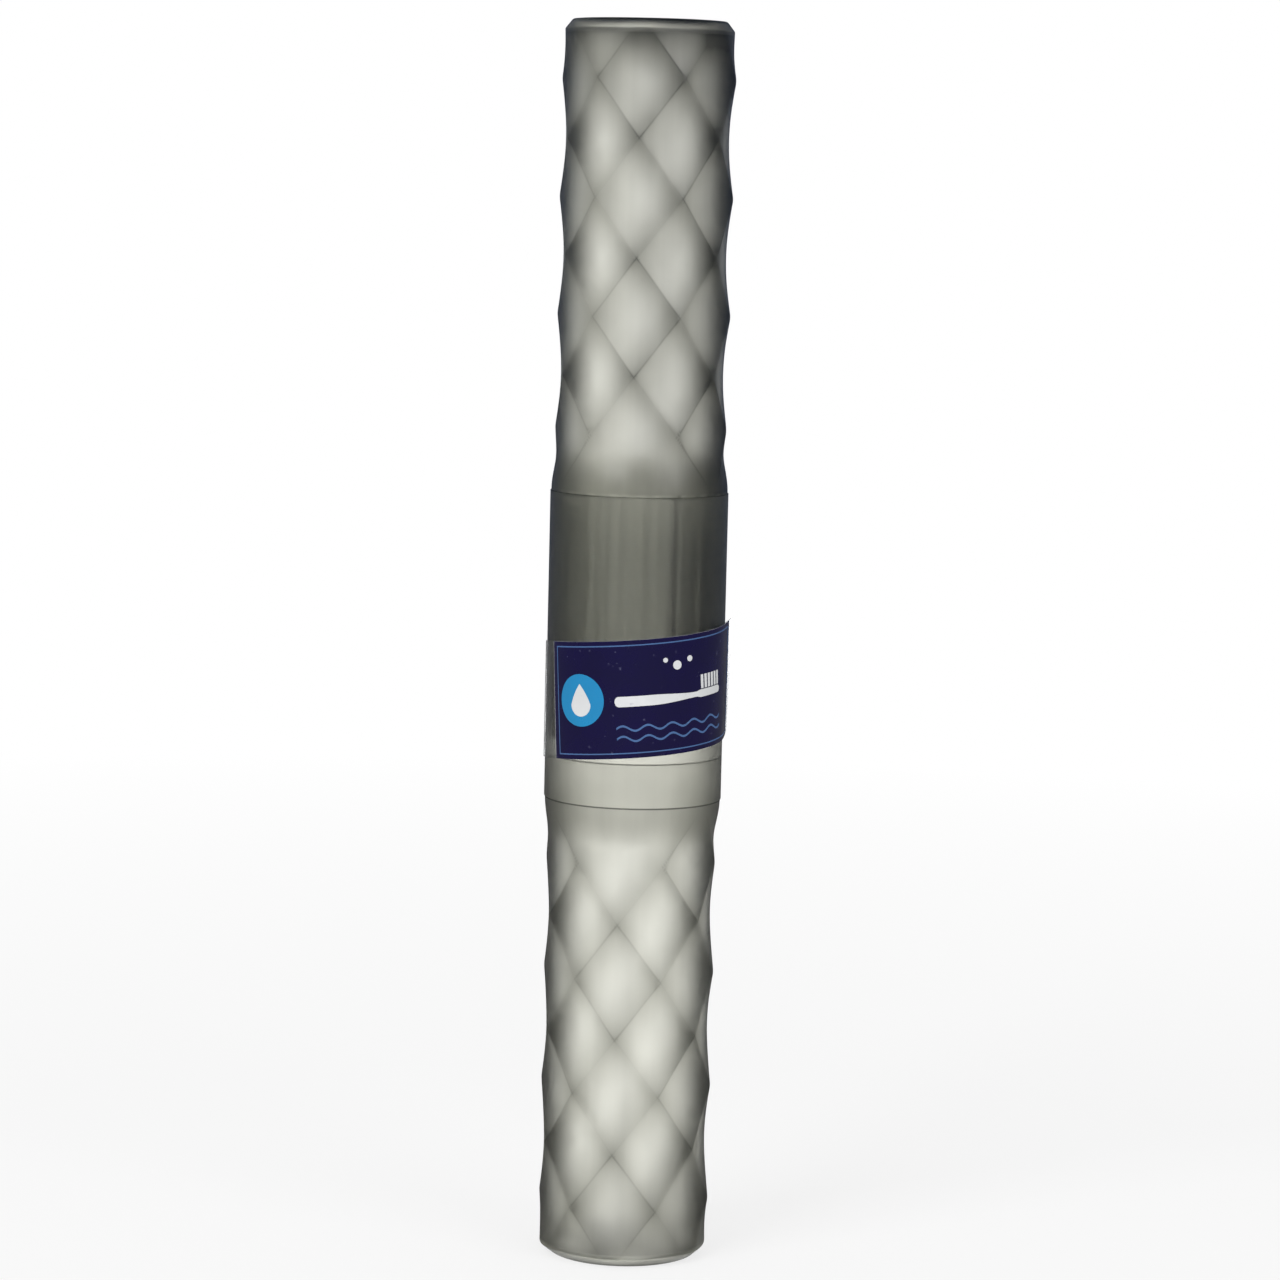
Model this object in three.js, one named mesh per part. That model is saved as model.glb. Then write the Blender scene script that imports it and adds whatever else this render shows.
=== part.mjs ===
// Travel toothbrush holder: two moulded tubes that push together, with a film label on the lower one.
// The body is a quilted closed end below a plain sleeve. The cap is a quilted closed end above a long neck,
// and the neck slides into the sleeve until the cap's shoulder meets the sleeve's rim.
// Millimetres, +Z up, origin at the middle of the body's flat end, azimuth 0 towards -Y.
import * as THREE from 'three';

// Tube sizes
const sleeveRadius = 14.7; // outside of the plain sleeve, the widest part of the holder
const sleeveWall = 1.2;
const collarHeight = 7.4; // thicker foot of the sleeve, between the quilt and the inner ledge
const ledgeWidth = 0.25; // inner step from the sleeve's socket down to the collar
const collarRamp = 0.25; // height of the small outer step at the foot of the sleeve
const rimChamfer = 0.2;
const flareBelow = 4.8; // the body's bore widens from here below the quilt's end
const flareAbove = 2.4; // to here above it
const floorFillet = 1.0; // inside corner at each closed end
const endWall = 1.6; // flat wall at each closed end

// Neck and its fit in the sleeve
const neckLength = 41.0;
const neckWall = 1.15;
const fitClearance = 0.15; // all round, between neck and sleeve
const rimClearance = 0.2; // between the cap's shoulder and the sleeve's rim
const ledgeClearance = 2.8; // between the neck's end and the ledge
const leadInHeight = 1.2; // tapers at the neck's end and in the sleeve's mouth
const leadInWidth = 0.4;
const boreBlend = 4.8; // height over which the neck's bore turns into the cap's

// Quilt of dished facets, pointed top and bottom, alternate columns half a pitch apart
const facetsRound = 6;
const facetRows = 4;
const facetPitch = 19.2; // corner to corner along the tube
const crestInset = 0.35; // facet corners sit this far inside the sleeve's outside
const facetDepth = 1.1; // dish of a facet below its corners
const endFacetDepth = 0.4; // dish of the half facets at both ends of the quilt
const facetWall = 1.05; // thinnest wall, behind the middle of a facet
const capTurn = 2.5; // degrees that the cap's columns sit round from the body's
const landInset = 0.25; // plain land at the cap's shoulder, inside the sleeve's outside
const landHeight = 2.4;
const landBlend = 2.4; // height over which the land turns into the quilt

// Closed ends
const endChamfer = 1.6; // height of the bevel round each closed end
const footInset = 2.6; // flat of the body's end, inside the sleeve's outside
const crownInset = 2.1; // flat of the cap's end, inside the sleeve's outside

// Label
const labelHeight = 19.3;
const labelThickness = 0.2;
const labelGap = 0.1; // adhesive layer
const labelStart = -80; // degrees, left lower corner as seen from the front
const labelSpan = 192; // degrees
const labelSkew = 5.0; // degrees that it is stuck on askew, climbing to the right
const labelFoot = 6.6; // left lower corner above the foot of the sleeve
const labelLift = 0.7; // how far the peeling right end stands off
const liftStart = 62; // degrees, where the peeling begins

// Faceting of the round shapes
const stepsPerHalfFacet = 4;
const labelStep = 6; // degrees, about
const leastRingGap = 0.2; // share of a quilt step, below which a ring is left out

// Radii and heights that follow from these
const socketRadius = sleeveRadius - sleeveWall;
const collarBore = socketRadius - ledgeWidth;
const neckRadius = socketRadius - fitClearance;
const neckBore = neckRadius - neckWall;
const crestRadius = sleeveRadius - crestInset;
const quiltBore = crestRadius - facetDepth - facetWall;
const landRadius = sleeveRadius - landInset;
const quiltHeight = facetRows * facetPitch;
const halfPitch = facetPitch / 2;
const halfAngle = Math.PI / facetsRound;
const ledgeZ = quiltHeight + collarHeight;
const neckEndZ = ledgeZ + ledgeClearance;
const shoulderZ = neckEndZ + neckLength;
const rimZ = shoulderZ - rimClearance;
const topZ = shoulderZ + quiltHeight;
const segments = 2 * facetsRound * stepsPerHalfFacet;
const quiltStep = halfPitch / stepsPerHalfFacet;

function smoothstep(value) {
  const t = Math.min(1, Math.max(0, value));
  return t * t * (3 - 2 * t);
}

function radians(degrees) {
  return THREE.MathUtils.degToRad(degrees);
}

// A point at an azimuth measured from -Y towards +X
function around(radius, azimuth, z) {
  return new THREE.Vector3(radius * Math.sin(azimuth), -radius * Math.cos(azimuth), z);
}

// Outer radius of the quilt at an azimuth and a distance from the closed end. Facet middles form a lattice
// of half columns and half pitches, and the radius falls with the square of the distance to the nearest
// corner, so that every facet is a shallow dish and the corners where four facets meet stand proud.
function quiltRadius(azimuth, fromEnd) {
  const column = azimuth / halfAngle;
  const row = fromEnd / halfPitch;
  let nearest = Infinity;
  for (let c = Math.floor(column); c <= Math.floor(column) + 1; c += 1) {
    for (let r = Math.floor(row); r <= Math.floor(row) + 1; r += 1) {
      const isMiddle = (Math.abs(c) + Math.abs(r)) % 2 === 1;
      if (isMiddle) nearest = Math.min(nearest, (column - c) ** 2 + (row - r) ** 2);
    }
  }
  const toQuiltEnd = Math.min(fromEnd, quiltHeight - fromEnd);
  const depth = THREE.MathUtils.lerp(endFacetDepth, facetDepth, smoothstep(toQuiltEnd / halfPitch));
  return crestRadius - depth * (1 - nearest);
}

// Distances from the closed end at which the quilt has a ring, from the bevel to the quilt's far end
function quiltRings() {
  const distances = [endChamfer];
  const rings = 2 * facetRows * stepsPerHalfFacet;
  for (let i = 1; i <= rings; i += 1) {
    const distance = i * quiltStep;
    if (distance > endChamfer + leastRingGap * quiltStep) distances.push(distance);
  }
  return distances;
}

// A round ring of points at one height
function ring(radius, z, turn = 0) {
  return Array.from({ length: segments }, (_, i) => {
    const azimuth = (2 * Math.PI * i) / segments;
    const r = typeof radius === 'function' ? radius(azimuth) : radius;
    return around(r, azimuth + turn, z);
  });
}

// A closed skin over rings, from a first point on the axis to a last one. Each four-sided cell is split
// along its higher diagonal, so that the ridges between facets stay unbroken.
function skin(first, rings, last) {
  const points = [first, ...rings.flat(), last];
  const reach = points.map((p) => Math.hypot(p.x, p.y));
  const at = (k, i) => 1 + k * segments + (i % segments);
  const end = points.length - 1;
  const index = [];
  for (let i = 0; i < segments; i += 1) {
    index.push(0, at(0, i + 1), at(0, i));
    index.push(end, at(rings.length - 1, i), at(rings.length - 1, i + 1));
  }
  for (let k = 0; k + 1 < rings.length; k += 1) {
    for (let i = 0; i < segments; i += 1) {
      const [a, b, c, d] = [at(k, i), at(k, i + 1), at(k + 1, i + 1), at(k + 1, i)];
      if (reach[a] + reach[c] >= reach[b] + reach[d]) index.push(a, b, c, a, c, d);
      else index.push(a, b, d, b, c, d);
    }
  }
  return solid(points, index);
}

function solid(points, index) {
  const geometry = new THREE.BufferGeometry().setFromPoints(points);
  geometry.setIndex(index);
  geometry.computeVertexNormals();
  return geometry;
}

// Body: up the outside from the flat end to the sleeve's rim, then down the inside to the floor
function bodyTube() {
  const rings = [ring(sleeveRadius - footInset, 0)];
  for (const z of quiltRings()) rings.push(ring((azimuth) => quiltRadius(azimuth, z), z));
  rings.push(ring(sleeveRadius, quiltHeight + collarRamp));
  rings.push(ring(sleeveRadius, rimZ - rimChamfer));
  rings.push(ring(sleeveRadius - rimChamfer, rimZ));
  rings.push(ring(socketRadius + leadInWidth, rimZ));
  rings.push(ring(socketRadius, rimZ - leadInHeight));
  rings.push(ring(socketRadius, ledgeZ));
  rings.push(ring(collarBore, ledgeZ));
  rings.push(ring(collarBore, quiltHeight + flareAbove));
  rings.push(ring(quiltBore, quiltHeight - flareBelow));
  rings.push(ring(quiltBore, endWall + floorFillet));
  rings.push(ring(quiltBore - floorFillet, endWall));
  return skin(new THREE.Vector3(0, 0, 0), rings, new THREE.Vector3(0, 0, endWall));
}

// Cap: down the inside from its end wall to the neck's end, then up the outside to the flat end
function capTube() {
  const turn = radians(capTurn);
  const neckBoreEnd = shoulderZ + landHeight + landBlend;
  const rings = [
    ring(quiltBore - floorFillet, topZ - endWall, turn),
    ring(quiltBore, topZ - endWall - floorFillet, turn),
    ring(quiltBore, neckBoreEnd + boreBlend, turn),
    ring(neckBore, neckBoreEnd, turn),
    ring(neckBore, neckEndZ, turn),
    ring(neckRadius - leadInWidth, neckEndZ, turn),
    ring(neckRadius, neckEndZ + leadInHeight, turn),
    ring(neckRadius, shoulderZ, turn),
    ring(landRadius, shoulderZ, turn),
  ];
  const quilted = quiltRings().reverse().slice(1); // the land's ring stands for the first
  for (const fromEnd of quilted) {
    const blend = smoothstep((quiltHeight - fromEnd - landHeight) / landBlend);
    const radius = (azimuth) => THREE.MathUtils.lerp(landRadius, quiltRadius(azimuth, fromEnd), blend);
    rings.push(ring(radius, topZ - fromEnd, turn));
  }
  rings.push(ring(sleeveRadius - crownInset, topZ, turn));
  return skin(new THREE.Vector3(0, 0, topZ - endWall), rings, new THREE.Vector3(0, 0, topZ));
}

// Label: a thin strip stuck askew round the sleeve, with its right end peeling off
function label() {
  const steps = Math.round(labelSpan / labelStep);
  const turnPerStep = radians(labelSpan / steps);
  const innerRadius = (sleeveRadius + labelGap) / Math.cos(turnPerStep / 2);
  const climb = innerRadius * Math.tan(radians(labelSkew));
  const lean = (labelHeight * Math.sin(radians(labelSkew))) / innerRadius;
  const rise = labelHeight * Math.cos(radians(labelSkew));
  const footZ = quiltHeight + labelFoot;
  const points = [];
  for (let i = 0; i <= steps; i += 1) {
    const azimuth = radians(labelStart) + i * turnPerStep;
    const peeled = smoothstep((azimuth - radians(liftStart)) / radians(labelStart + labelSpan - liftStart));
    const inner = innerRadius + labelLift * peeled;
    const low = footZ + climb * i * turnPerStep;
    points.push(around(inner, azimuth, low), around(inner + labelThickness, azimuth, low));
    points.push(around(inner + labelThickness, azimuth - lean, low + rise));
    points.push(around(inner, azimuth - lean, low + rise));
  }
  const index = [0, 1, 2, 0, 2, 3];
  for (let i = 0; i < steps; i += 1) {
    for (let side = 0; side < 4; side += 1) {
      const [a, b] = [4 * i + side, 4 * i + ((side + 1) % 4)];
      index.push(a, a + 4, b, b, a + 4, b + 4);
    }
  }
  const end = 4 * steps;
  index.push(end, end + 2, end + 1, end, end + 3, end + 2);
  return solid(points, index);
}

const smokyPlastic = { color: 0xb9bab0, roughness: 0.35, metalness: 0, transparent: true, opacity: 0.6 };
const navyFilm = { color: 0x17103f, roughness: 0.3, metalness: 0 };

function piece(name, geometry, look) {
  const mesh = new THREE.Mesh(geometry, new THREE.MeshStandardMaterial(look));
  mesh.name = name;
  return mesh;
}

const holder = new THREE.Group();
holder.add(piece('body_tube', bodyTube(), smokyPlastic));
holder.add(piece('cap_tube', capTube(), smokyPlastic));
holder.add(piece('label', label(), navyFilm));

export default holder;
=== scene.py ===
import math

import bpy
import numpy as np
from mathutils import Matrix, Vector


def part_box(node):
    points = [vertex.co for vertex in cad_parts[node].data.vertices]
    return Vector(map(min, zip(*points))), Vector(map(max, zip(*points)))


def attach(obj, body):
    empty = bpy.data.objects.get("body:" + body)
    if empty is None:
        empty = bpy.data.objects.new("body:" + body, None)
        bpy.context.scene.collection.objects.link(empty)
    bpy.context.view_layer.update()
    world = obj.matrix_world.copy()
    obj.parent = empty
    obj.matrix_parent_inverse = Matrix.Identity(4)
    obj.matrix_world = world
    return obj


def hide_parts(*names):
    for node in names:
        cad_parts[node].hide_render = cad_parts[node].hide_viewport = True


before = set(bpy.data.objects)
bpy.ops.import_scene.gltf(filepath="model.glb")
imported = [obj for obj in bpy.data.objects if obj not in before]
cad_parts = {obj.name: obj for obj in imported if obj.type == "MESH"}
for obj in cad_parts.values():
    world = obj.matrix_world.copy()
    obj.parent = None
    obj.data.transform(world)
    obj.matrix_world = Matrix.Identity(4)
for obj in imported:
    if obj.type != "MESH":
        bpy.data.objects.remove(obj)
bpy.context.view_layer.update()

# Body tube: one injection moulding in smoky, slightly hazy plastic, a quilted closed end below a sleeve.
# The mould's cavity is faceted and its core is round, so the wall is thin behind the middle of each facet
# and thick behind the corners, and the quilt shows as light and shade when light comes through it.
mm = 0.001
_, body_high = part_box("body_tube")
cap_low, cap_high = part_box("cap_tube")
sleeve_radius = body_high.x
rim_z = body_high.z
neck_end_z = cap_low.z
ledge_clearance = 2.8 * mm
ledge_z = neck_end_z - ledge_clearance
collar_height = 7.4 * mm
quilt_height = ledge_z - collar_height

# The quilt's lattice, the depth of its facets and the sharpness of their edges.
facets_round = 6
facet_rows = 4
half_pitch = quilt_height / facet_rows / 2
half_angle = math.pi / facets_round
steps_per_half_facet = 24
columns = 2 * facets_round * steps_per_half_facet
row_step = half_pitch / steps_per_half_facet
ring_azimuth = np.linspace(0.0, 2 * math.pi, columns, endpoint=False)
crest_inset = 0.35 * mm
crest_radius = sleeve_radius - crest_inset
facet_depth = 1.1 * mm
end_facet_depth = 0.5 * mm
land_depth_loss = 0.5
facet_wall = 0.85 * mm
quilt_bore = crest_radius - facet_depth - facet_wall
land_inset = 0.15 * mm
land_radius = sleeve_radius - land_inset
land_blend = 7.0 * mm
end_bevel = 1.6 * mm
crisp_edge = 60.0
soft_edge = 12.0
open_edge = 2.5
far_away = 9.0

# How much the quilt's wall darkens the light, from 0 for the clear tint to 1 for the dark one.
crest_shade = 0.63
land_shade_share = 0.57
# Painted shade: the even columns of facets darker, the odd ones lighter.
column_painted_shade = 0.07
end_shade = 0.17
end_reach = 3 * half_pitch
# Painted shade: thin dark lines along the facets' edges.
painted_line_shade = 0.16
side_line_share = 0.25
line_width = 0.045
line_fade = 5.0 * mm


def smooth_step(share):
    """Rises from 0 to 1 with level ends: share squared times three less twice the share."""
    share = np.clip(share, 0.0, 1.0)
    return share * share * (3.0 - 2.0 * share)


def soft_least(values, sharpness):
    """The least of several arrays with the corner between them rounded: minus the log of the summed
    exponentials of minus sharpness times each, over the sharpness."""
    values = np.stack(values)
    least = values.min(axis=0)
    return least - np.log(np.exp(-sharpness * (values - least)).sum(axis=0)) / sharpness


def facet_distances(across, along):
    """Squared distances, in half facets, to the facet middles round a point, which stand on a diamond
    lattice. They come as three lists: every other facet of the even columns is framed, the facets of the odd
    columns are side facets, and the rest are open, as are the half facets at the plain end and the last
    facet at the back. Past the middle of the last whole row an open facet is a trough, where only the way
    round the tube counts."""
    last_row = 2 * facet_rows
    framed, side, opened = [], [], []
    for column_offset in range(-1, 3):
        for row_offset in range(-1, 3):
            column = np.floor(across) + column_offset
            row = np.floor(along) + row_offset
            distance = (across - column) ** 2 + (along - row) ** 2
            is_middle = (np.mod(column + row, 2) == 1) & (row >= 0) & (row <= last_row)
            is_side = is_middle & (np.mod(row, 2) == 0) & (row < last_row)
            is_last_at_back = (row == last_row - 1) & (np.mod(column, 2 * facets_round) == facets_round)
            is_framed = is_middle & (np.mod(row, 2) == 1) & (np.mod(column + row, 4) == 1) & ~is_last_at_back
            is_open = is_middle & ~is_side & ~is_framed
            is_past_middle = (row == last_row - 1) & (along > row)
            trough = np.where(is_past_middle, (across - column) ** 2, distance)
            framed.append(np.where(is_framed, distance, far_away))
            side.append(np.where(is_side, distance, far_away))
            opened.append(np.where(is_open, trough, far_away))
    return framed, side, opened


def edge_lines(framed, side, opened):
    """Fine lines of painted shade along the facets' edges: a bell curve of the lead of the nearest middle
    over the next one. The lines round side facets are fainter and stop at a frame."""
    least_framed = np.min(framed, axis=0)
    least_side = np.min(side, axis=0)
    least_open = np.min(opened, axis=0)
    framed_lead = least_framed - np.minimum(least_side, least_open)
    side_lead = least_open - least_side
    outside_frame = smooth_step(framed_lead / line_width)
    frame_line = np.exp(-(framed_lead / line_width) ** 2)
    return frame_line + side_line_share * outside_frame * np.exp(-(side_lead / line_width) ** 2)


def quilt_wall(azimuth, from_end):
    """Radius and shade of the quilted wall. A point lies below the crest by the depth times one less the
    squared lattice distance to its nearest middle. The depth is less at the closed end and falls off towards
    the plain end, where the wall swells out to the land. The shade grows with the wall's thickness, less so
    on the land. Added to it are the edge lines of painted shade, a slow rise towards the closed end, and
    painted shade from a cosine round the tube that darkens the even columns and lightens the odd ones."""
    across = azimuth / half_angle
    along = from_end / half_pitch
    framed, side, opened = facet_distances(across, along)
    softly = soft_least([soft_least(opened, open_edge), soft_least(side, soft_edge)], soft_edge)
    nearest = soft_least([soft_least(framed, crisp_edge), softly], crisp_edge)
    depth = end_facet_depth + (facet_depth - end_facet_depth) * smooth_step(from_end / half_pitch)
    near_land = smooth_step((from_end - quilt_height) / half_pitch + 1.0)
    quilt = crest_radius - depth * (1.0 - land_depth_loss * near_land) * (1.0 - nearest)
    quilt_share = smooth_step((quilt_height - from_end) / land_blend)
    radius = land_radius + (quilt - land_radius) * quilt_share
    thickness = (radius - quilt_bore - facet_wall) / facet_depth
    shade = crest_shade * thickness * (land_shade_share + (1.0 - land_shade_share) * quilt_share)
    line_share = quilt_share * smooth_step((from_end - end_bevel) / line_fade)
    shade += painted_line_shade * line_share * edge_lines(framed, side, opened)
    shade += end_shade * (1.0 - smooth_step(from_end / end_reach))
    return radius, shade + column_painted_shade * np.cos(math.pi * across) * quilt_share


def rounded_outline(corners, steps=5):
    """Radii and heights along straight lines between corners (radius, height, rounding). Each rounding is a
    quadratic curve that leaves one line and joins the next at that distance from the corner."""
    points = np.array([corner[:2] for corner in corners], float)
    outline = [points[:1]]
    share = np.linspace(0.0, 1.0, steps + 1)[:, None]
    roundings = [corner[2] for corner in corners[1:-1]]
    for before, corner, after, rounding in zip(points, points[1:], points[2:], roundings):
        if rounding == 0.0:
            outline.append(corner[None])
            continue
        start = corner + (before - corner) * rounding / np.linalg.norm(before - corner)
        end = corner + (after - corner) * rounding / np.linalg.norm(after - corner)
        outline.append(start * (1 - share) ** 2 + 2 * corner * share * (1 - share) + end * share ** 2)
    outline.append(points[-1:])
    outline = np.vstack(outline)
    return outline[:, 0], outline[:, 1]


def even_rows(outline, shade, haze):
    """Turns an outline's radii and heights into rows that are the same all round, with a shade and haze."""
    radius, height = outline
    values = (radius, height, shade + 0 * radius, haze + 0 * radius)
    return [np.repeat(value[:, None], columns, axis=1) for value in values]


# The bevel of a closed end. Its corners and roundings are shares of its width and height.
inside_disc = -0.5
disc_rounding = 0.22
end_ring = 0.4
wall_rounding = 0.12
past_bevel = 1.2
# Painted shade on the end's disc, a dark band of it on the ring nearest the end, and a little on the rest.
end_disc_painted_shade = 0.55
end_ring_painted_shade = 0.8
bevel_painted_shade = 0.1


def bevel_rows(end_radius, turn):
    """The rounded bevel between a flat end and the quilt: its share of the way out and its rise follow a
    rounded corner outline, and the quilt's own radius is where the way out ends. It has painted shade on the
    disc, a dark band of painted shade on the ring where the floor inside meets the wall, and a little
    painted shade further out."""
    corners = [
        (inside_disc, 0.0),
        (0.0, 0.0, disc_rounding),
        (end_ring, end_ring, 0.0),
        (1.0, 1.0, wall_rounding),
        (1.0, past_bevel),
    ]
    out, rise = rounded_outline(corners)
    from_end = end_bevel * rise[:, None] + np.zeros((1, columns))
    wall, _ = quilt_wall(ring_azimuth[None] - turn, np.maximum(from_end, end_bevel))
    radius = end_radius + (wall - end_radius) * out[:, None]
    shade = np.where(rise < end_ring, end_ring_painted_shade, bevel_painted_shade)
    shade[0] = end_disc_painted_shade
    return radius, from_end, shade[:, None] + 0 * radius, 0 * radius


def rows_with_painted_side_shade(rows, middle, swing):
    """Rows with painted shade, more on the right and less on the left, standing in for light that comes
    through the tube more strongly from the left: the swing times the sine of the azimuth and the middle shade
    are added to each row's own shade, and the sum is kept between 0 and 1."""
    side = (middle + swing * np.sin(ring_azimuth))[None]
    return [(radius, height, np.clip(shade + side, 0.0, 1.0), haze) for radius, height, shade, haze in rows]


crease_angle = math.radians(40)


def new_piece(name, points, triangles):
    """A smooth-shaded mesh object from arrays of points and of corner numbers, sharp only at real corners."""
    mesh = bpy.data.meshes.new(name)
    mesh.vertices.add(len(points))
    mesh.vertices.foreach_set("co", np.asarray(points, np.float32).ravel())
    mesh.loops.add(3 * len(triangles))
    mesh.loops.foreach_set("vertex_index", np.asarray(triangles, np.int32).ravel())
    mesh.polygons.add(len(triangles))
    mesh.polygons.foreach_set("loop_start", np.arange(0, 3 * len(triangles), 3, dtype=np.int32))
    mesh.update(calc_edges=True)
    mesh.shade_smooth()
    mesh.set_sharp_from_angle(angle=crease_angle)
    piece = bpy.data.objects.new(name, mesh)
    bpy.context.scene.collection.objects.link(piece)
    return piece


def turned_shell(name, rows, first_z, last_z):
    """A closed skin round the Z axis. Each row is a ring of points at its radii and heights, the rings are
    joined in order, and a point on the axis closes either end. Each cell is split along the diagonal that
    lies further out, so that the quilt's edges run unbroken. The rows' shade and haze are kept as the skin's
    own attributes."""
    radius = np.vstack([row[0] for row in rows])
    height = np.vstack([row[1] for row in rows])
    azimuth = ring_azimuth[None]
    rings = np.stack([radius * np.sin(azimuth), -radius * np.cos(azimuth), height], axis=-1).reshape(-1, 3)
    points = np.vstack([[[0.0, 0.0, first_z]], rings, [[0.0, 0.0, last_z]]])
    number = 1 + np.arange(radius.size).reshape(radius.shape)
    beside = np.roll(number, -1, axis=1)
    radius_beside = np.roll(radius, -1, axis=1)
    low, low_beside, high, high_beside = number[:-1], beside[:-1], number[1:], beside[1:]
    rising = radius[:-1] + radius_beside[1:] >= radius_beside[:-1] + radius[1:]
    first_half = np.stack([low, low_beside, np.where(rising, high_beside, high)], -1)
    second_half = np.stack([np.where(rising, low, low_beside), high_beside, high], -1)
    first_fan = np.stack([np.zeros(columns, int), beside[0], number[0]], -1)
    last_fan = np.stack([np.full(columns, len(points) - 1), number[-1], beside[-1]], -1)
    triangles = np.vstack([first_half.reshape(-1, 3), second_half.reshape(-1, 3), first_fan, last_fan])
    piece = new_piece(name, points, triangles)
    for attribute, part in (("wall_shade", 2), ("core_haze", 3)):
        values = np.concatenate([row[part].ravel() for row in rows])
        values = np.concatenate([values[:1], values, values[-1:]]).astype(np.float32)
        piece.data.attributes.new(attribute, "FLOAT", "POINT").data.foreach_set("value", values)
    return piece


def new_material(name):
    """A material with its node tree and its shader."""
    material = bpy.data.materials.new(name)
    material.use_nodes = True
    return material, material.node_tree, material.node_tree.nodes["Principled BSDF"]


def feed(tree, value, socket):
    """Gives a socket another node's output, or else a fixed value."""
    if isinstance(value, bpy.types.NodeSocket):
        tree.links.new(value, socket)
    else:
        socket.default_value = value


def link_math(tree, operation, first, second):
    """One calculation with two values, each a number or another node's output."""
    node = tree.nodes.new("ShaderNodeMath")
    node.operation = operation
    feed(tree, first, node.inputs[0])
    feed(tree, second, node.inputs[1])
    return node.outputs["Value"]


def link_attribute(tree, name):
    """A value that the mesh keeps at its points."""
    attribute = tree.nodes.new("ShaderNodeAttribute")
    attribute.attribute_name = name
    return attribute.outputs["Fac"]


def link_noise(tree, coordinates, scale, stretch=(1.0, 1.0, 1.0), detail=3.0):
    """A noise on the piece's own coordinates, in features per metre, stretched along its axes."""
    mapping = tree.nodes.new("ShaderNodeMapping")
    mapping.inputs["Scale"].default_value = stretch
    noise = tree.nodes.new("ShaderNodeTexNoise")
    noise.inputs["Scale"].default_value = scale
    noise.inputs["Detail"].default_value = detail
    tree.links.new(coordinates, mapping.inputs["Vector"])
    tree.links.new(mapping.outputs["Vector"], noise.inputs["Vector"])
    return noise.outputs["Fac"]


def link_range(tree, value, low, high, from_low=0.3, from_high=0.7):
    """Spreads a value from one range, a noise's usual one if none is given, to another and stops it at the
    ends."""
    spread = tree.nodes.new("ShaderNodeMapRange")
    spread.inputs["From Min"].default_value = from_low
    spread.inputs["From Max"].default_value = from_high
    spread.inputs["To Min"].default_value = low
    spread.inputs["To Max"].default_value = high
    tree.links.new(value, spread.inputs["Value"])
    return spread.outputs["Result"]


def link_tint(tree, share, first, second):
    """Mixes two colours by a share."""
    mix = tree.nodes.new("ShaderNodeMix")
    mix.data_type = "RGBA"
    feed(tree, first, mix.inputs["A"])
    feed(tree, second, mix.inputs["B"])
    tree.links.new(share, mix.inputs["Factor"])
    return mix.outputs["Result"]


def link_bump(tree, shader, height, strength, distance):
    """Gives a shader a fine unevenness of that depth."""
    bump = tree.nodes.new("ShaderNodeBump")
    bump.inputs["Strength"].default_value = strength
    bump.inputs["Distance"].default_value = distance
    tree.links.new(height, bump.inputs["Height"])
    tree.links.new(bump.outputs["Normal"], shader.inputs["Normal"])


# The plastic's finish.
plastic_refraction = 1.49
clear_tint = (1.0, 1.0, 0.985, 1.0)
dark_tint = (0.06, 0.06, 0.06, 1.0)
streaks_per_metre = 300.0
streak_stretch = (1.0, 1.0, 0.03)
streak_shade = 0.09
outside_roughness = 0.3
core_roughness = 0.15
mottles_per_metre = 420.0
mottle_roughness = 0.08
grains_per_metre = 900.0
grain_strength = 0.12
grain_depth = 0.1 * mm
smoke_colour = (0.2, 0.2, 0.04, 1.0)
smoke_density = 220.0


def smoky_plastic():
    """Hazy see-through plastic: light is lost evenly along its way through the wall, the tint darkens with
    the wall's shade, which follows its thickness and holds painted shade, and with faint flow streaks along
    the tube, and the haze is mottled and greater inside."""
    material, tree, shader = new_material("smoky_plastic")
    shader.inputs["Transmission Weight"].default_value = 1.0
    shader.inputs["IOR"].default_value = plastic_refraction
    coordinates = tree.nodes.new("ShaderNodeTexCoord").outputs["Object"]
    streaks = link_noise(tree, coordinates, streaks_per_metre, streak_stretch)
    streaks = link_range(tree, streaks, 0.0, streak_shade)
    shade = link_math(tree, "ADD", streaks, link_attribute(tree, "wall_shade"))
    tree.links.new(link_tint(tree, shade, clear_tint, dark_tint), shader.inputs["Base Color"])
    core_haze = link_math(tree, "MULTIPLY", link_attribute(tree, "core_haze"), core_roughness)
    mottle = link_noise(tree, coordinates, mottles_per_metre)
    mottle = link_range(tree, mottle, 0.0, mottle_roughness)
    haze = link_math(tree, "ADD", link_math(tree, "ADD", core_haze, mottle), outside_roughness)
    tree.links.new(haze, shader.inputs["Roughness"])
    grain = link_noise(tree, coordinates, grains_per_metre)
    link_bump(tree, shader, grain, grain_strength, grain_depth)
    absorption = tree.nodes.new("ShaderNodeVolumeAbsorption")
    absorption.inputs["Color"].default_value = smoke_colour
    absorption.inputs["Density"].default_value = smoke_density
    tree.links.new(absorption.outputs["Volume"], tree.nodes["Material Output"].inputs["Volume"])
    return material


# The body's skin, from the foot up the outside, over the rim and down the inside. Haze is 0 on the outside,
# which the mould's cavity left smoother, and 1 where its core was.
outside = 0.0
core = 1.0
foot_inset = 2.6 * mm
foot_radius = sleeve_radius - foot_inset
# Painted shade on the body's foot bevel and quilt, a little more on the right than on the left.
body_painted_shade_middle = 0.05
body_painted_shade_swing = 0.05
quilt_z = np.arange(end_bevel + 1.5 * row_step, quilt_height + row_step / 2, row_step)
quilt_z += quilt_height - quilt_z[-1]
quilt_z = np.repeat(quilt_z[:, None], columns, axis=1)
body_wall, body_shade = quilt_wall(ring_azimuth[None] + 0 * quilt_z, quilt_z)
quilt_rows = [bevel_rows(foot_radius, 0.0), (body_wall, quilt_z, body_shade, 0 * quilt_z)]

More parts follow.
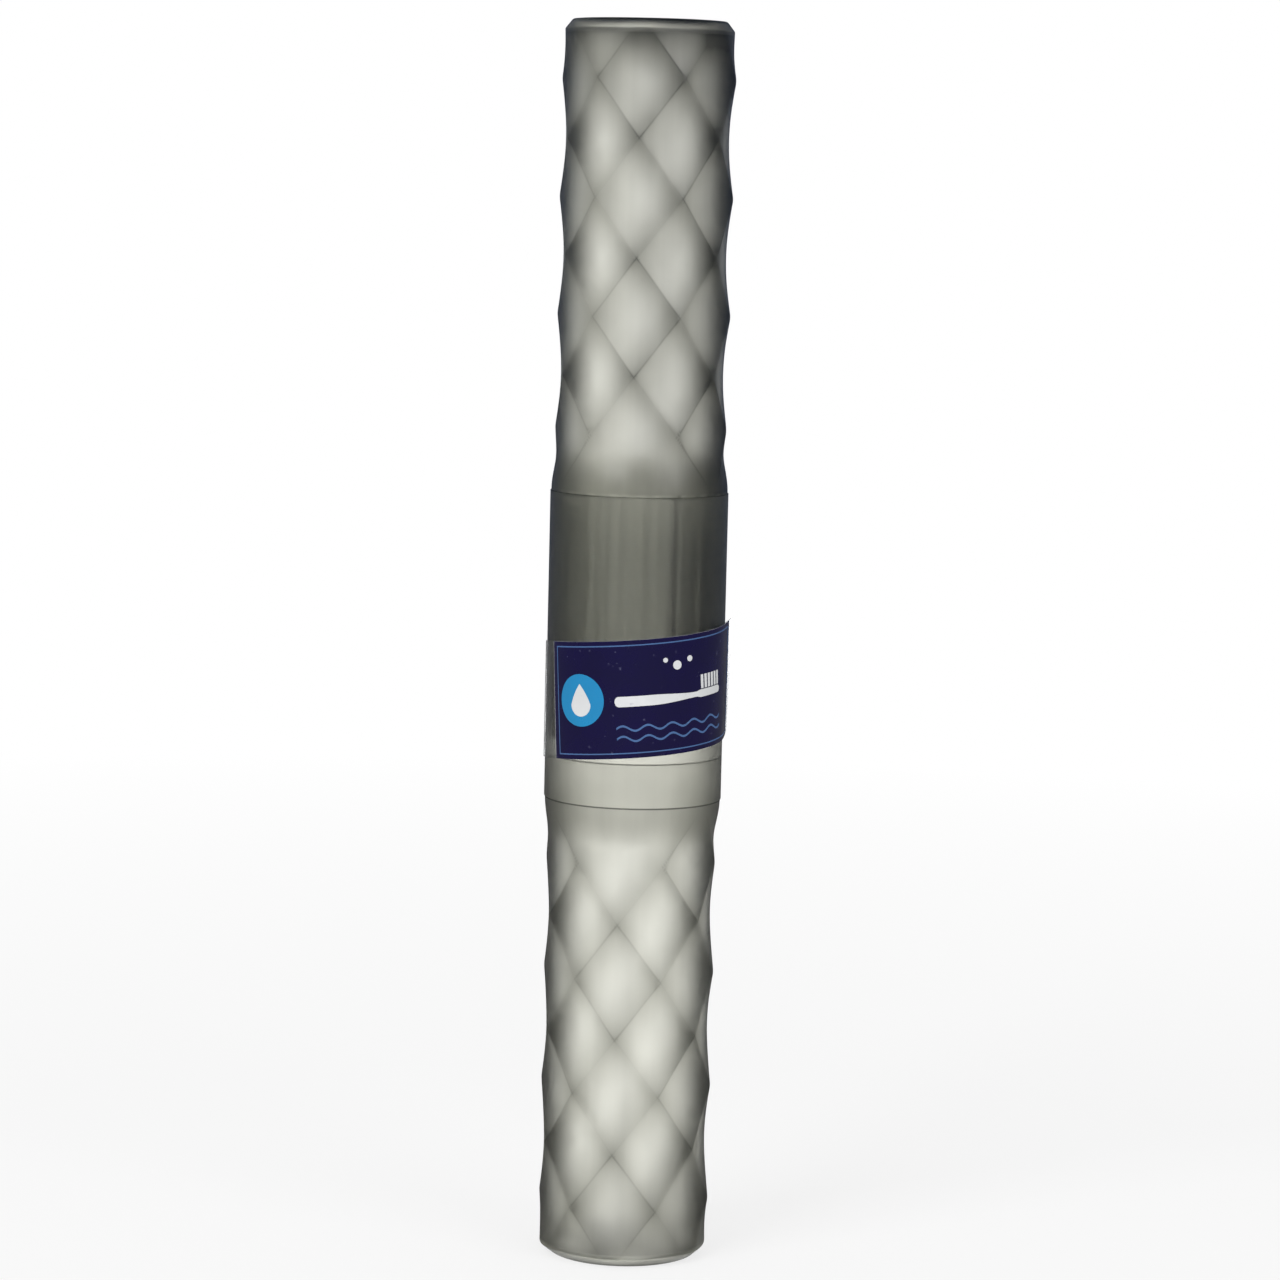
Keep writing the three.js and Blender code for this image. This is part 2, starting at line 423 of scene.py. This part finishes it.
row_gap = 0.02 * mm
# Painted shade: dark lines along the collar's outer step and along the ledge inside.
painted_step_shade = 1.0
collar_ramp = 0.25 * mm
collar_line = 1.2 * collar_ramp
collar_shade = 0.24
ledge_line = 0.1 * mm
collar_step_outline = rounded_outline(
    [(land_radius + row_gap, quilt_height), (sleeve_radius, quilt_height + collar_ramp)]
)
collar_outline = rounded_outline(
    [(sleeve_radius, quilt_height + collar_line), (sleeve_radius, ledge_z - ledge_line)]
)

sleeve_wall = 1.2 * mm
socket_radius = sleeve_radius - sleeve_wall
rim_bevel = 0.02 * mm
# Painted shade on the rim's top face, which hides the light line that the seam would show.
painted_rim_shade = 0.35
lead_in_width = 0.1 * mm
lead_in_height = 0.4 * mm
lead_in_rounding = 0.3 * mm
lead_in_break = (0.05 * mm, 0.15 * mm)
sleeve_outline = rounded_outline(
    [
        (sleeve_radius, ledge_z + ledge_line),
        (sleeve_radius, rim_z - rim_bevel, 0.0),
        (sleeve_radius - rim_bevel, rim_z, 0.0),
        (socket_radius + lead_in_width, rim_z),
    ]
)
sleeve_shade = np.where(sleeve_outline[1] < rim_z, 0.0, painted_rim_shade)
socket_outline = rounded_outline(
    [
        (socket_radius + lead_in_width - lead_in_break[0], rim_z - lead_in_break[1]),
        (socket_radius, rim_z - lead_in_height, lead_in_rounding),
        (socket_radius, ledge_z + row_gap),
    ]
)

ledge_width = 0.25 * mm
ledge_drop = 0.2 * mm
collar_bore = socket_radius - ledge_width
flare_below = 4.8 * mm
flare_above = 2.4 * mm
flare_rounding = 2.0 * mm
end_wall = 0.8 * mm
floor_fillet = 1.8 * mm
ledge_outline = rounded_outline([(socket_radius, ledge_z), (collar_bore, ledge_z - ledge_drop)])
bore_outline = rounded_outline(
    [
        (collar_bore, ledge_z - ledge_drop - row_gap),
        (collar_bore, quilt_height + flare_above, flare_rounding),
        (quilt_bore, quilt_height - flare_below, flare_rounding),
        (quilt_bore, end_wall, floor_fillet),
        (quilt_bore / 2, end_wall),
    ]
)

body_rows = [
    *rows_with_painted_side_shade(quilt_rows, body_painted_shade_middle, body_painted_shade_swing),
    even_rows(collar_step_outline, painted_step_shade, outside),
    even_rows(collar_outline, collar_shade, outside),
    even_rows(sleeve_outline, sleeve_shade, outside),
    even_rows(socket_outline, 0.0, core),
    even_rows(ledge_outline, painted_step_shade, core),
    even_rows(bore_outline, 0.0, core),
]
plastic = smoky_plastic()
body_tube = turned_shell("body_tube_moulding", body_rows, 0.0, end_wall)
body_tube.data.materials.append(plastic)
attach(body_tube, "body")
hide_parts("body_tube")

# Cap tube: the same plastic and the same quilt the other way up. Below its shoulder a long plain neck pushes
# into the sleeve until the shoulder stands on the rim, so that stretch is two walls thick and looks darker.
# Painted shade darkens its right side, and flow streaks, painted shade and a narrow darker line run up
# the neck.
seam_gap = 0.03 * mm
shoulder_z = rim_z + seam_gap
top_z = cap_high.z
cap_turn = math.radians(2.5)
crown_inset = 2.1 * mm
crown_radius = sleeve_radius - crown_inset
# Painted shade on the cap's neck, quilt and crown, darker on its right side.
cap_painted_shade_middle = 0.18
cap_painted_shade_swing = 0.24
from_shoulder = np.arange(row_step, quilt_height - end_bevel - row_step, row_step)
from_crown = np.repeat((quilt_height - from_shoulder)[:, None], columns, axis=1)
cap_wall, cap_shade = quilt_wall(ring_azimuth[None] - cap_turn + 0 * from_crown, from_crown)
crown_bevel = [values[::-1] for values in bevel_rows(crown_radius, cap_turn)]

fit_clearance = 0.15 * mm
neck_radius = socket_radius - fit_clearance
neck_wall = 1.15 * mm
neck_bore = neck_radius - neck_wall
neck_bevel_width = 0.4 * mm
neck_bevel_height = 1.2 * mm
neck_bevel_rounding = 0.3 * mm
neck_end_radius = (neck_bore + neck_radius - neck_bevel_width) / 2
neck_end_rounding = 0.1 * mm
neck_root_rounding = 0.05 * mm
shoulder_rounding = 0.03 * mm
shoulder_height = 0.2 * mm
bore_taper = 10 * mm
neck_shade = 0.41
# Painted light: near the rim the neck keeps only this share of its shade.
rim_share_of_neck_shade = 0.55
rim_fade = 10 * mm
rim_fade_steps = (1.0, 0.75, 0.5, 0.25)
neck_stripe_shade = 0.35
neck_stripe_azimuth = math.radians(34.5)
neck_stripe_width = math.radians(1.6)
# Sine waves round the neck: the slowest is painted shade, the other two are flow streaks.
neck_streaks_and_painted_shade = ((5, 3.75, 0.11), (23, 2.1, 0.07), (41, 4.0, 0.07))
cap_bore_outline = rounded_outline(
    [
        (quilt_bore / 2, top_z - end_wall),
        (quilt_bore, top_z - end_wall, floor_fillet),
        (quilt_bore, neck_end_z + bore_taper, 0.0),
        (neck_bore, neck_end_z, neck_end_rounding),
        (neck_end_radius, neck_end_z),
    ]
)
neck_outline = rounded_outline(
    [
        (neck_end_radius + neck_end_rounding, neck_end_z),
        (neck_radius - neck_bevel_width, neck_end_z, neck_end_rounding),
        (neck_radius, neck_end_z + neck_bevel_height, neck_bevel_rounding),
        *[(neck_radius, shoulder_z - share * rim_fade, 0.0) for share in rim_fade_steps],
        (neck_radius, shoulder_z, neck_root_rounding),
        (land_radius, shoulder_z, shoulder_rounding),
        (land_radius, shoulder_z + shoulder_height),
    ]
)

# The neck is lighter near the rim, which is painted light. A narrow darker line up it is a bell curve round
# the tube, and its sine waves are each given as how many go round, their lag and their shade: the slowest is
# painted shade, the other two are flow streaks.
near_rim = smooth_step(1.0 - (shoulder_z - neck_outline[1]) / rim_fade)
neck_rows = even_rows(neck_outline, neck_shade * (1.0 - (1.0 - rim_share_of_neck_shade) * near_rim), outside)
neck_rows[2] += neck_stripe_shade * np.exp(-((ring_azimuth - neck_stripe_azimuth) / neck_stripe_width) ** 2)
for waves_round, lag, wave_shade in neck_streaks_and_painted_shade:
    neck_rows[2] += wave_shade * np.sin(waves_round * ring_azimuth + lag)
outer_rows = [
    neck_rows,
    (cap_wall, top_z - from_crown, cap_shade, 0 * from_crown),
    (crown_bevel[0], top_z - crown_bevel[1], *crown_bevel[2:]),
]
cap_rows = [
    even_rows(cap_bore_outline, 0.0, core),
    *rows_with_painted_side_shade(outer_rows, cap_painted_shade_middle, cap_painted_shade_swing),
]
cap_tube = turned_shell("cap_tube_moulding", cap_rows, top_z - end_wall, top_z)
cap_tube.data.materials.append(plastic)
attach(cap_tube, "cap")
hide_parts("cap_tube")

# Label: a strip of clear self-adhesive film stuck askew round the sleeve, with a white-backed navy print.
# Its left margin is bare film. Its right end has come unstuck and runs straight on, off the round sleeve.
label_low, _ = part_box("label")
label_gap = 0.1 * mm
label_radius = sleeve_radius + label_gap
label_start = math.radians(-80)
label_span = math.radians(192)
label_skew = math.radians(5.0)
label_height = 19.3 * mm
label_length = label_span * label_radius / math.cos(label_skew)
unstuck_foot = math.radians(92)
unstuck_top = math.radians(84)
film_back = 0.02 * mm
film_face = 0.1 * mm
film_steps_along = 160
steps_up = 25


def on_label(along, up, proud):
    """Points on the label. The flat label, along by up, is turned by its skew and wrapped round the sleeve,
    so that the way along becomes an angle. Past the line where it has come unstuck, which leans back towards
    the top, it runs straight on: its radius there is the label's over the cosine of the angle past that
    line. The proud height is added to the radius."""
    azimuth = label_start + (along * math.cos(label_skew) - up * math.sin(label_skew)) / label_radius
    height = label_low.z + along * math.sin(label_skew) + up * math.cos(label_skew)
    unstuck = unstuck_foot + (unstuck_top - unstuck_foot) * up / label_height
    radius = label_radius / np.cos(np.maximum(azimuth - unstuck, 0.0)) + proud
    return np.stack([radius * np.sin(azimuth), -radius * np.cos(azimuth), height], axis=-1)


def film_patch(grid, inner, outer):
    """A thin closed patch of the label: a grid of places along and up it, carried out to two heights above
    the sleeve, with a strip round the edge to join the two skins."""
    along, up = grid
    number = np.arange(along.size).reshape(along.shape)
    low, right, far, high = number[:-1, :-1], number[1:, :-1], number[1:, 1:], number[:-1, 1:]
    halves = [np.stack([low, right, far], -1), np.stack([low, far, high], -1)]
    face = np.vstack([half.reshape(-1, 3) for half in halves])
    border = np.concatenate([number[:-1, 0], number[-1, :-1], number[:0:-1, -1], number[0, :0:-1]])
    after = np.roll(border, -1)
    under = along.size
    edge = [
        np.stack([border, border + under, after + under], -1),
        np.stack([border, after + under, after], -1),
    ]
    points = np.vstack([on_label(along, up, proud).reshape(-1, 3) for proud in (outer, inner)])
    return points, np.vstack([face, face[:, ::-1] + under, *edge])


def box_grid(left, right, low, high, count_along, count_up):
    """An even grid of places between two distances along the label and two up it."""
    along = np.linspace(left, right, count_along)
    up = np.linspace(low, high, count_up)
    return np.meshgrid(along, up, indexing="ij")


def label_piece(name, grids, inner, outer, material):
    """One layer of the label from closed patches on those grids, riding with the body."""
    patches = [film_patch(grid, inner, outer) for grid in grids]
    starts = np.cumsum([0] + [len(points) for points, _ in patches[:-1]])
    triangles = np.vstack([corners + start for (_, corners), start in zip(patches, starts)])
    piece = new_piece(name, np.vstack([points for points, _ in patches]), triangles)
    piece.data.materials.append(material)
    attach(piece, "body")
    return piece


film_refraction = 1.2
film_tints = ((0.93, 0.95, 0.98, 1.0), (0.98, 0.985, 0.99, 1.0))
film_clouds_per_metre = 350.0
film_roughness = (0.03, 0.1)


def clear_film():
    """Clear glossy film with a faintly uneven face."""
    material, tree, shader = new_material("clear_film")
    shader.inputs["Transmission Weight"].default_value = 1.0
    shader.inputs["IOR"].default_value = film_refraction
    coordinates = tree.nodes.new("ShaderNodeTexCoord").outputs["Object"]
    cloud = link_noise(tree, coordinates, film_clouds_per_metre)
    tree.links.new(link_tint(tree, cloud, *film_tints), shader.inputs["Base Color"])
    tree.links.new(link_range(tree, cloud, *film_roughness), shader.inputs["Roughness"])
    return material


film_grid = box_grid(0.0, label_length, 0.0, label_height, film_steps_along, steps_up)
film = label_piece("label_film", [film_grid], film_back, film_face, clear_film())
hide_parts("label")

# Printed layers of the label: a white backing, a navy ground, a pale blue keyline with waves, a cyan roundel
# and a white pictogram. Each is a skin of glossy ink, a step or two further out than what it is printed on.
ink_thickness = 0.02 * mm
ink_step = 0.03 * mm
ink_clouds_per_metre = 240.0
ink_unevenness = 0.75
ink_roughness_spread = 0.12
specks_per_metre = 900.0
speck_detail = 6.0
speck_range = (0.68, 0.74)
scuff_share = 0.6
ink_grains_per_metre = 500.0
ink_grain_strength = 0.1
ink_grain_depth = 0.05 * mm


def printed_ink(name, colour, worn_colour, roughness):
    """Glossy ink on film: its colour is a little uneven, and small scuffs show a paler ground."""
    material, tree, shader = new_material(name)
    coordinates = tree.nodes.new("ShaderNodeTexCoord").outputs["Object"]
    cloud = link_noise(tree, coordinates, ink_clouds_per_metre)
    thin_colour = tuple(ink_unevenness * part for part in colour[:3]) + (1.0,)
    uneven = link_tint(tree, cloud, colour, thin_colour)
    specks = link_noise(tree, coordinates, specks_per_metre, detail=speck_detail)
    scuffs = link_range(tree, specks, 0.0, scuff_share, *speck_range)
    tree.links.new(link_tint(tree, scuffs, uneven, worn_colour), shader.inputs["Base Color"])
    dullness = link_range(tree, cloud, roughness, roughness + ink_roughness_spread)
    tree.links.new(dullness, shader.inputs["Roughness"])
    grain = link_noise(tree, coordinates, ink_grains_per_metre)
    link_bump(tree, shader, grain, ink_grain_strength, ink_grain_depth)
    return material


def ink_piece(name, layer, grids, material):
    """A printed layer: ink of one thickness on the film, each layer a step further out."""
    inner = film_face + layer * ink_step
    return label_piece(name, grids, inner, inner + ink_thickness, material)


white_ink = printed_ink("white_ink", (0.78, 0.79, 0.8, 1.0), (0.5, 0.5, 0.55, 1.0), 0.3)
navy_ink = printed_ink("navy_ink", (0.006, 0.003, 0.048, 1.0), (0.1, 0.1, 0.18, 1.0), 0.22)
cyan_ink = printed_ink("cyan_ink", (0.012, 0.27, 0.57, 1.0), (0.2, 0.4, 0.6, 1.0), 0.25)
pale_blue_ink = printed_ink("pale_blue_ink", (0.075, 0.16, 0.36, 1.0), (0.2, 0.3, 0.5, 1.0), 0.25)

left_margin = 7.9 * mm
right_margin = 2.3 * mm
print_left = left_margin
print_right = label_length - right_margin
backing_edge = 0.12 * mm
ground_edge = 0.02 * mm
steps_along = 140
backing_grid = box_grid(print_left - backing_edge, print_right, 0.0, label_height, steps_along, steps_up)
ink_piece("label_backing", 1, [backing_grid], white_ink)
ground_high = label_height - ground_edge
ground_grid = box_grid(print_left, print_right, ground_edge, ground_high, steps_along, steps_up)
ink_piece("label_ground", 2, [ground_grid], navy_ink)

keyline_inset = 0.75 * mm
keyline_width = 0.2 * mm
keyline_edges = 2
line_left, line_right = print_left + 1.5 * keyline_inset, print_right - keyline_inset
line_low, line_high = keyline_inset, label_height - keyline_inset
side_low, side_high = line_low + keyline_width, line_high - keyline_width
keyline = [
    box_grid(line_left, line_right, line_low, side_low, steps_along, keyline_edges),
    box_grid(line_left, line_right, side_high, line_high, steps_along, keyline_edges),
    box_grid(line_left, line_left + keyline_width, side_low, side_high, keyline_edges, steps_up),
    box_grid(line_right - keyline_width, line_right, side_low, side_high, keyline_edges, steps_up),
]


def strip_grid(left, right, middle, half_width, steps=81, steps_across=5):
    """A strip from left to right whose middle line and half width are functions of the share of the way."""
    share, side = box_grid(0.0, 1.0, -1.0, 1.0, steps, steps_across)
    return left + (right - left) * share, middle(share) + side * half_width(share)


motif_left, motif_right = print_left + 12.5 * mm, print_left + 33.0 * mm
wave_heights = (4.9 * mm, 3.2 * mm)
wave_rise = 0.42 * mm
wave_half_width = 0.17 * mm
waves_along = 5
for wave_up in wave_heights:
    wave = strip_grid(
        motif_left,
        motif_right,
        lambda share: wave_up + wave_rise * np.sin(2 * math.pi * waves_along * share),
        lambda share: wave_half_width + 0 * share,
    )
    keyline.append(wave)
ink_piece("label_keyline", 3, keyline, pale_blue_ink)


def disc_grid(along, up, radius, steps=25):
    """A round grid: a square one drawn in to a disc, each way shortened by the root of one less half the
    square of the other."""
    side, rise = box_grid(-1.0, 1.0, -1.0, 1.0, steps, steps)
    disc_along = along + radius * side * np.sqrt(1 - rise ** 2 / 2)
    disc_up = up + radius * rise * np.sqrt(1 - side ** 2 / 2)
    return disc_along, disc_up


roundel_along = print_left + 6.4 * mm
roundel_up = 9.7 * mm
roundel_radius = 4.3 * mm
roundel_steps = 41
roundel_grid = disc_grid(roundel_along, roundel_up, roundel_radius, roundel_steps)
ink_piece("label_roundel", 3, [roundel_grid], cyan_ink)

drop_below_middle = 0.75 * mm
drop_radius = 1.9 * mm
drop_stretch = 0.8
drop_taper = 0.97


def drop_grid(along, up, radius):
    """A water drop: a disc whose upper half is stretched and drawn in to a point, by the root of what is left
    of its rise."""
    side, rise = disc_grid(0.0, 0.0, 1.0)
    upper = np.maximum(rise, 0.0)
    drop_along = along + radius * side * np.sqrt(1 - drop_taper * upper)
    drop_up = up + radius * (rise + drop_stretch * upper)
    return drop_along, drop_up


brush_up = 9.3 * mm
brush_steps = 161
grip_half_width = 0.85 * mm
neck_half_width = 0.42 * mm
head_half_width = 0.62 * mm
taper_start = 0.3
taper_reach = 0.4
head_start = 0.74
head_reach = 0.05
end_rounding = 0.035
end_bluntness = 0.15


def brush_half_width(share):
    """Half the brush's width: a grip that tapers to a neck, then the head, with both ends drawn in by a
    quarter circle and left a little blunt."""
    taper = smooth_step((share - taper_start) / taper_reach)
    head = smooth_step((share - head_start + head_reach) / head_reach)
    width = grip_half_width + (neck_half_width - grip_half_width) * taper
    width = width + (head_half_width - neck_half_width) * head
    from_end = np.clip(np.minimum(share, 1.0 - share) / end_rounding, 0.0, 1.0)
    return width * (end_bluntness + (1.0 - end_bluntness) * np.sqrt(1.0 - (1.0 - from_end) ** 2))


tufts = 6
tuft_pitch = 0.86 * mm
tuft_width = 0.58 * mm
tuft_height = 2.3 * mm
tuft_gap = 0.15 * mm
tuft_inset = 0.1 * mm
tuft_steps = 4
head_left = motif_left + head_start * (motif_right - motif_left)
tuft_low = brush_up + head_half_width + tuft_gap
pictogram = [
    drop_grid(roundel_along, roundel_up - drop_below_middle, drop_radius),
    strip_grid(motif_left, motif_right, lambda share: brush_up + 0 * share, brush_half_width, brush_steps),
]
for tuft in range(tufts):
    tuft_left = head_left + tuft_inset + tuft * tuft_pitch
    tuft_right, tuft_high = tuft_left + tuft_width, tuft_low + tuft_height
    pictogram.append(box_grid(tuft_left, tuft_right, tuft_low, tuft_high, tuft_steps, tuft_steps))
bubble_steps = 13
bubbles = (
    (23.2 * mm, 14.6 * mm, 0.75 * mm),
    (25.6 * mm, 15.4 * mm, 0.5 * mm),
    (21.2 * mm, 15.6 * mm, 0.4 * mm),
)
for bubble_along, bubble_up, bubble_radius in bubbles:
    pictogram.append(disc_grid(print_left + bubble_along, bubble_up, bubble_radius, bubble_steps))
ink_piece("label_pictogram", 4, pictogram, white_ink)

# Studio: a pale floor that keeps the tube's shadow, light panels all round that show through the tube, an
# even white surround behind them, and large soft lamps from the front for the label.
panels_round = 4
panel_narrowness = 4.0
floor_panel_bearing = math.radians(106.0)
floor_panel_lights = (1.3, 2.28)
surround_panel_bearing = math.radians(112.0)
surround_panel_lights = (1.04, 2.02)
ambient_light = 0.55
mirrored_light = 0.165
mirrored_tint = (0.54, 0.67, 1.0, 1.0)
white_tint = (1.0, 1.0, 1.0, 1.0)
card_light = 0.27
card_reach = (-0.97, -0.75)
glint_light = 0.5
glint_reach = (0.014, 0.019)
floor_radius = 1.0
floor_steps = 64
floor_colour = (0.85, 0.85, 0.85, 1.0)
floor_white = (0.75, 1.0)
shadow_reach = (0.15, 0.6)


def link_views(tree):
    """How a surface is seen, as values of 0 or 1: directly, through the plastic, mirrored, or as light on a
    matt surface."""
    seen = tree.nodes.new("ShaderNodeLightPath").outputs
    mirrored = link_math(tree, "GREATER_THAN", seen["Glossy Depth"], 0.5)
    unmirrored = link_math(tree, "SUBTRACT", 1.0, mirrored)
    through = link_math(tree, "MULTIPLY", seen["Is Transmission Ray"], unmirrored)
    return seen["Is Camera Ray"], through, mirrored, seen["Is Diffuse Ray"]


def link_panels(tree, direction, first_panel, lights):
    """Light panels round the tube: brightness rises from dim to full with the cosine of half the bearing
    from the first panel times the number of panels, taken without its sign and to a power that narrows each
    panel."""
    parts = tree.nodes.new("ShaderNodeSeparateXYZ")
    tree.links.new(direction, parts.inputs["Vector"])
    bearing = link_math(tree, "ARCTAN2", parts.outputs["Y"], parts.outputs["X"])
    bearing = link_math(tree, "SUBTRACT", bearing, first_panel)
    wave = link_math(tree, "COSINE", link_math(tree, "MULTIPLY", bearing, panels_round / 2), 0.0)
    share = link_math(tree, "POWER", link_math(tree, "ABSOLUTE", wave, 0.0), panel_narrowness)
    return link_range(tree, share, *lights, 0.0, 1.0)


bpy.ops.mesh.primitive_circle_add(vertices=floor_steps, radius=floor_radius, fill_type="TRIFAN")
floor = bpy.context.active_object
floor.name = "studio_floor"
floor_material, tree, unused_shader = new_material("pale_floor")
tree.nodes.remove(unused_shader)
matt = tree.nodes.new("ShaderNodeBsdfDiffuse")
matt.inputs["Color"].default_value = floor_colour
white = tree.nodes.new("ShaderNodeEmission")
direct, through, mirrored, _ = link_views(tree)
floor_place = tree.nodes.new("ShaderNodeTexCoord").outputs["Object"]
from_tube = tree.nodes.new("ShaderNodeVectorMath")
from_tube.operation = "LENGTH"
tree.links.new(floor_place, from_tube.inputs[0])
white_share = link_range(tree, from_tube.outputs["Value"], *floor_white, *shadow_reach)
white_share = link_math(tree, "MULTIPLY", direct, white_share)
white_share = link_math(tree, "MAXIMUM", white_share, through)
white_share = link_math(tree, "MAXIMUM", white_share, mirrored)
panels = link_panels(tree, floor_place, floor_panel_bearing, floor_panel_lights)
glow = link_math(tree, "MAXIMUM", direct, link_math(tree, "MULTIPLY", through, panels))
foot_glint = link_range(tree, from_tube.outputs["Value"], glint_light, mirrored_light, *glint_reach)
glow = link_math(tree, "MAXIMUM", glow, link_math(tree, "MULTIPLY", mirrored, foot_glint))
tree.links.new(glow, white.inputs["Strength"])
shown = tree.nodes.new("ShaderNodeMixShader")
tree.links.new(white_share, shown.inputs["Fac"])
tree.links.new(matt.outputs["BSDF"], shown.inputs[1])
tree.links.new(white.outputs["Emission"], shown.inputs[2])
tree.links.new(shown.outputs["Shader"], tree.nodes["Material Output"].inputs["Surface"])
floor.data.materials.append(floor_material)

world = bpy.data.worlds.new("white_surround")
world.use_nodes = True
bpy.context.scene.world = world
tree = world.node_tree
surround = tree.nodes["Background"]
direct, through, mirrored, lit = link_views(tree)
tree.links.new(link_tint(tree, mirrored, white_tint, mirrored_tint), surround.inputs["Color"])
outward = tree.nodes.new("ShaderNodeTexCoord").outputs["Generated"]
panels = link_panels(tree, outward, surround_panel_bearing, surround_panel_lights)
facing = tree.nodes.new("ShaderNodeSeparateXYZ")
tree.links.new(outward, facing.inputs["Vector"])
card = link_range(tree, facing.outputs["Y"], card_light, mirrored_light, *card_reach)
strength = link_math(tree, "MAXIMUM", direct, link_math(tree, "MULTIPLY", through, panels))
strength = link_math(tree, "MAXIMUM", strength, link_math(tree, "MULTIPLY", lit, ambient_light))
strength = link_math(tree, "MAXIMUM", strength, link_math(tree, "MULTIPLY", mirrored, card))
tree.links.new(strength, surround.inputs["Strength"])


def soft_lamp(name, place, aim, size, power):
    """A square soft box at a place, turned to a point, that isn't seen mirrored."""
    lamp = bpy.data.lights.new(name, "AREA")
    lamp.size = size
    lamp.energy = power
    holder = bpy.data.objects.new(name, lamp)
    holder.location = place
    holder.rotation_euler = (Vector(aim) - Vector(place)).to_track_quat("-Z", "Y").to_euler()
    holder.visible_glossy = False
    bpy.context.scene.collection.objects.link(holder)


tube_middle = (0.0, 0.0, 0.1)
key_lamp_place = (-0.7, -1.2, 1.1)
fill_lamp_place = (1.1, -0.9, 0.7)
soft_lamp("key_lamp", key_lamp_place, tube_middle, size=0.8, power=14.0)
soft_lamp("fill_lamp", fill_lamp_place, tube_middle, size=0.9, power=7.0)

# Camera: almost as high as the tube's top and a few degrees right of its front, looking slightly down and
# rolled so that the tube leans as it does in the photograph.
image_size = 1280
camera_distance = 0.7
camera_height = 0.181
camera_azimuth = math.radians(8.0)
camera_pitch = math.radians(6.35)
camera_roll = math.radians(1.35)
focal_pixels = 4250.0
axis_left_pixels = 4.0
camera_data = bpy.data.cameras.new("camera")
camera_data.sensor_width = 36.0
camera_data.lens = camera_data.sensor_width * focal_pixels / image_size
camera = bpy.data.objects.new("camera", camera_data)
bpy.context.scene.collection.objects.link(camera)
level_right = Vector((math.cos(camera_azimuth), math.sin(camera_azimuth), 0.0))
level_forward = Vector((-math.sin(camera_azimuth), math.cos(camera_azimuth), 0.0))
forward = level_forward * math.cos(camera_pitch) - Vector((0.0, 0.0, math.sin(camera_pitch)))
forward = (forward + level_right * axis_left_pixels / focal_pixels).normalized()
level_up = level_right.cross(forward).normalized()
right = (level_right * math.cos(camera_roll) + level_up * math.sin(camera_roll)).normalized()
up = right.cross(forward).normalized()
right = forward.cross(up)
camera_place = -level_forward * camera_distance + Vector((0.0, 0.0, camera_height))
camera_turn = Matrix((right, up, -forward)).transposed().to_4x4()
camera.matrix_world = Matrix.Translation(camera_place) @ camera_turn
bpy.context.scene.camera = camera
bpy.context.scene.view_settings.view_transform = "Standard"
